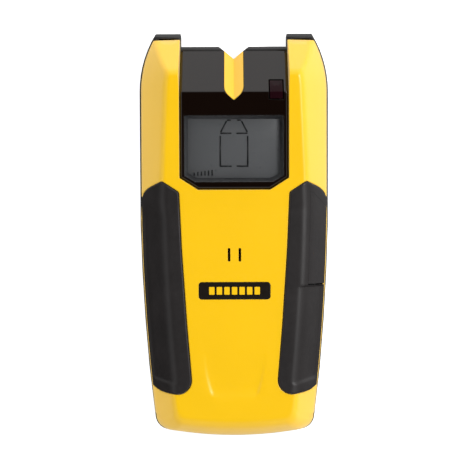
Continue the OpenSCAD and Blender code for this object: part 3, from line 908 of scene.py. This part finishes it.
def grip(name, key):
    loop, edge = grip_loop(-0.08, GRIP_Z, GRIP_PROUD)
    hollow_top, hollow_fade = KEY_HOLLOW_END if key else PLAIN_HOLLOW_END
    holes = [key_edge(KEY_GAP)] if key else []
    rims = [(edge, False, 0.55)]
    if key:
        rims.append((key_edge(KEY_GAP)[::-1], True, 0.06))
    spread = [c * GRIP_K for c in RIDGE_SPREAD]
    lines = ridge_lines(lambda y: ramp_top(y) + GRIP_PROUD, spread, GRIP_PROUD)
    lines = [line[(line[:, 1] > -70) & (line[:, 1] < 30)] for line in lines]
    for k in np.linspace(0, HOLLOW_RISE, 6):
        lines.append(steps((20, hollow_foot(20) + k), (40, hollow_foot(40) + k), 0.8))
    for z in GRIP_Z + HOLLOW_LIP * np.array([0.2, 0.45, 0.7, 1.0]):
        ring = half_outline(z, GRIP_PROUD)
        lines.append(ring[(ring[:, 1] > -70) & (ring[:, 1] < 30)])
    if key:
        for k in np.linspace(-hollow_fade, 0, 4):
            lines.append(steps((24, hollow_top + k), (40, hollow_top + k), 0.8))
        ys = np.arange(KEY_FOOT_Y - 1, 19, 0.8)
        inner = side_x(ys, level(KEY_TOP_Z + KEY_GAP, GRIP_PROUD)[0])
        lines += [np.stack([inner - k, ys], 1) for k in (0.4, KEY_TRAVEL + 0.2, KEY_TRAVEL + 0.55)]
    return moulding(
        name, [loop] + holes, lambda x, y: grip_surface(x, y, hollow_top, hollow_fade),
        grip_key_under if key else grip_under, rims, lines, 1.5,
    )


def key_cap():
    loop = key_edge(0.0)

    def top(x, y):
        return smooth_min(bevel_z(x, y, GRIP_PROUD), ramp_top(y) + GRIP_PROUD, GRIP_K)

    def under(x, y):
        return np.maximum(np.minimum(bevel_z(x, y, -0.3), KEY_TOP_Z), KEY_LOW_Z)

    spread = [c * GRIP_K for c in RIDGE_SPREAD]
    lines = ridge_lines(lambda y: ramp_top(y) + GRIP_PROUD, spread, GRIP_PROUD)
    rims = [(loop, True, 0.06)]
    return moulding("side_key", [loop], top, under, rims, lines, 1.4)


def mirror(obj):
    """Mirrors a mesh left to right."""
    bm = bmesh.new()
    bm.from_mesh(obj.data)
    for v in bm.verts:
        v.co.x = -v.co.x
    bmesh.ops.reverse_faces(bm, faces=bm.faces)
    bm.to_mesh(obj.data)
    bm.free()
    return obj


# --- Display ---

# Display opening, panel, pane, and the plain blocks on the name plate
LCD_Y = 33.3
LCD_HALF = (19.4, 12.9)
LCD_CUT = (15.2, 10.4)
PANEL_CUT = (14.0, 17.5, 22.05)
PANEL_THICK = 2.6
PANE_THICK = 1.4
BLOCK_PITCH = 2.95
BLOCK_HALF = (1.05, 1.5)


def lcd_loop(g):
    """The display's opening in the panel, seen from the front."""
    x, top, foot = LCD_HALF[0] + g, LCD_Y + LCD_HALF[1] + g, LCD_Y - LCD_HALF[1] - g
    cut_x, cut_y = LCD_CUT[0] + 0.6 * g, LCD_Y - LCD_CUT[1] - 0.5 * g
    return rounded([
        (-cut_x, foot, 0.5), (cut_x, foot, 0.5), (x, cut_y, 0.5),
        (x, top, 0.5), (-x, top, 0.5), (-x, cut_y, 0.5),
    ])


def lens_loop(g):
    low, high = cad_box("warning_lens")
    return box_loop(low[:2] - g, high[:2] + g, 0.4, 0.6)


def display_panel():
    half = PANEL_HALF + 0.05
    end = PANEL_CREST_Y + (float(panel_top(PANEL_CREST_Y)) - PART_Z) / PANEL_FALL - 0.1
    gap = NOTCH_HALF + 0.25
    cut_x, low_y, cut_y = PANEL_CUT
    outer = rounded([
        (gap, end, 0), (half, end, 0), (half, cut_y, 0.6), (cut_x, low_y, 0.6),
        (-cut_x, low_y, 0.6), (-half, cut_y, 0.6), (-half, end, 0), (-gap, end, 0),
    ])
    start, stop = (int(np.argmin(np.hypot(*(outer - (x, end)).T))) for x in (gap, -gap))
    outer = np.roll(outer, -start, 0)[:(stop - start) % len(outer) + 1]
    first = (outer[:, 0] > half - 0.01).argmax()
    last = len(outer) - (outer[::-1, 0] < 0.01 - half).argmax()
    side = outer[first:last]
    inner = rounded([
        (-gap, end, 0), (-gap, PANEL_CREST_Y, 5), (0, NOTCH_TIP_Y - 0.35, 0.4),
        (gap, PANEL_CREST_Y, 5), (gap, end, 0),
    ])
    start, stop = (int(np.argmin(np.hypot(*(inner - (x, end)).T))) for x in (-gap, gap))
    inner = np.roll(inner, -start, 0)[:(stop - start) % len(inner) + 1]
    loop = np.concatenate([outer, inner[1:-1]])
    if area(loop) < 0:
        loop, side, inner = loop[::-1], side[::-1], inner[::-1]
    holes = [lcd_loop(0.0), lens_loop(0.45)]
    rims = [
        (side, False, 1.1), (inner, False, 0.12),
        (holes[0][::-1], True, 0.12), (holes[1][::-1], True, 0.08),
    ]
    lines = [steps((-22, PANEL_CREST_Y + c * 0.35), (22, PANEL_CREST_Y + c * 0.35)) for c in RIDGE_SPREAD]
    return moulding(
        "display_panel_moulding", [loop] + holes, lambda x, y: panel_top(y),
        lambda x, y: np.maximum(panel_top(y) - PANEL_THICK, PART_Z + 0.02), rims, lines, 3.0,
    )


def display_pane():
    loop = lcd_loop(-0.04)
    return moulding(
        "display_pane", [loop], lambda x, y: panel_top(y) - 0.02,
        lambda x, y: panel_top(y) - PANE_THICK, [(loop, True, 0.15)], [], 3.5,
    )


def badge():
    loop = badge_loop(0.0)
    top = cad_box("badge_plate")[1][2]
    return moulding(
        "name_plate", [loop], lambda x, y: np.full(x.shape, top), lambda x, y: np.full(x.shape, top - 0.5),
        [(loop, True, 0.18)], [], 2.0,
    )


def badge_blocks():
    """A row of plain blocks on the name plate."""
    low, high = cad_box("badge_plate")
    middle = (low[1] + high[1]) / 2
    top = high[2] + 0.04
    under = high[2] - 0.2
    half_x, half_y = BLOCK_HALF
    blocks = []
    for x in np.arange(-3, 4) * BLOCK_PITCH:
        loop = box_loop((x - half_x, middle - half_y), (x + half_x, middle + half_y), 0.25, 0.5)
        blocks.append(moulding(
            "name_plate_blocks", [loop], lambda x, y: np.full(x.shape, top),
            lambda x, y: np.full(x.shape, under), [], [], 2.0,
        ))
    return join(*blocks)


# --- CAD nodes that stay ---


def finish_node(node, slot, width):
    """Gives a CAD node its material, and softens its edges with modifiers."""
    obj = frame["nodes"][node]
    obj.data.materials.clear()
    obj.data.materials.append(MATERIALS[slot])
    for polygon in obj.data.polygons:
        polygon.use_smooth = True
    weld = obj.modifiers.new("weld", "WELD")
    weld.merge_threshold = 1e-6
    flat = obj.modifiers.new("flat", "DECIMATE")
    flat.decimate_type = "DISSOLVE"
    flat.angle_limit = math.radians(1.0)
    if width:
        bevel = obj.modifiers.new("edge", "BEVEL")
        bevel.width = width * MM
        bevel.segments = 2
        bevel.limit_method = "ANGLE"
        bevel.angle_limit = math.radians(30.0)
        bevel.harden_normals = False


# --- The object ---

dress(join(front_housing(), notch_guide()), "yellow_abs", "housing", "front_shell")
dress(grip("right_grip_moulding", True), "grip_rubber", "housing", "right_grip")
dress(mirror(grip("left_grip_moulding", False)), "grip_rubber", "housing", "left_grip")
dress(key_cap(), "key_rubber", "key", "key_cap")
dress(display_panel(), "black_gloss", "housing", "display_panel")
dress(display_pane(), "clear_window", "housing", "display_window")
dress(badge(), "badge_brown", "housing", "badge_plate")
dress(badge_blocks(), "yellow_abs", "housing")

REPLACED = {
    "front_shell", "right_grip", "left_grip", "key_cap", "display_panel", "display_window", "badge_plate",
}
EDGE_WIDTHS = {
    "back_shell": 0.12, "battery_door": 0.3, "lcd_bezel": 0.0, "lcd_segments": 0.0, "battery_can": 0.8,
}
EDGE_WIDTH = 0.1
for entry in frame["record"]["subparts"]:
    if entry["node"] not in REPLACED:
        finish_node(entry["node"], entry["material_slot"], EDGE_WIDTHS.get(entry["node"], EDGE_WIDTH))


# --- Floor, light and camera ---


def floor():
    mesh = bpy.data.meshes.new("floor")
    size = 3.0
    z = -0.0002
    corners = [(-size, -size, z), (size, -size, z), (size, size, z), (-size, size, z)]
    mesh.from_pydata(corners, [], [(0, 1, 2, 3)])
    obj = bpy.data.objects.new("floor", mesh)
    bpy.context.scene.collection.objects.link(obj)
    m = Nodes("floor_paper")
    paper = m.tones(m.spread(m.noise(8, 2), 0, 1), (0.86, 0.86, 0.86), (0.88, 0.88, 0.88))
    m.link(paper, m.shader.inputs["Base Color"])
    m.set(Roughness=0.9, Specular_IOR_Level=0.1, Emission_Strength=0.8)
    obj.data.materials.append(m.material)
    obj.visible_glossy = False


def softbox(name, place, target, size, power):
    light = bpy.data.lights.new(name, "AREA")
    light.shape = "RECTANGLE"
    light.size, light.size_y = size
    light.energy = power
    obj = bpy.data.objects.new(name, light)
    obj.location = place
    obj.rotation_euler = (Vector(target) - Vector(place)).to_track_quat("-Z", "Y").to_euler()
    bpy.context.scene.collection.objects.link(obj)


def studio():
    """A pale studio: dark straight above, bright round the sides and brightest on the right."""
    world = bpy.data.worlds.new("studio")
    world.use_nodes = True
    tree = world.node_tree
    background = tree.nodes["Background"]
    background.inputs["Color"].default_value = (1, 1, 1, 1)
    place = tree.nodes.new("ShaderNodeTexCoord")

    def ramp(axis, start, end, low, high):
        along = tree.nodes.new("ShaderNodeVectorMath")
        along.operation = "DOT_PRODUCT"
        along.inputs[1].default_value = axis
        tree.links.new(place.outputs["Generated"], along.inputs[0])
        made = tree.nodes.new("ShaderNodeMapRange")
        made.interpolation_type = "SMOOTHSTEP"
        tree.links.new(along.outputs["Value"], made.inputs["Value"])
        made.inputs["From Min"].default_value = start
        made.inputs["From Max"].default_value = end
        made.inputs["To Min"].default_value = low
        made.inputs["To Max"].default_value = high
        return made.outputs["Result"]

    bright_side = (0.3, 0.95, 0)
    up = (0, 0, 1)
    above = ramp(bright_side, -0.9, 0.9, 0.94, 1.0)
    below = ramp(bright_side, -0.3, 0.95, 0.04, 1.0)
    rise = ramp(up, -0.1, 0.45, 0.0, 1.0)
    mix = tree.nodes.new("ShaderNodeMix")
    tree.links.new(rise, mix.inputs["Factor"])
    tree.links.new(below, mix.inputs["A"])
    tree.links.new(above, mix.inputs["B"])
    strength = tree.nodes.new("ShaderNodeMath")
    strength.operation = "MULTIPLY"
    tree.links.new(ramp(up, 0.95, 0.7, 0.0, 1.0), strength.inputs[0])
    tree.links.new(mix.outputs["Result"], strength.inputs[1])
    tree.links.new(strength.outputs["Value"], background.inputs["Strength"])
    bpy.context.scene.world = world
    softbox("key_light", (0.57, 0.22, 0.80), (0, 0, 0), (0.26, 0.26), 5.1)
    bpy.context.scene.view_settings.view_transform = "Standard"


def camera():
    data = bpy.data.cameras.new("camera")
    height = 0.75
    view_width = 0.1851
    sensor = 36.0
    data.sensor_width = sensor
    data.lens = sensor * (height - PART_Z * MM) / view_width
    obj = bpy.data.objects.new("camera", data)
    obj.location = (-0.00072, 0.0007, height)
    obj.rotation_euler = (0, 0, math.radians(-0.2))
    bpy.context.scene.collection.objects.link(obj)
    bpy.context.scene.camera = obj


floor()
studio()
camera()
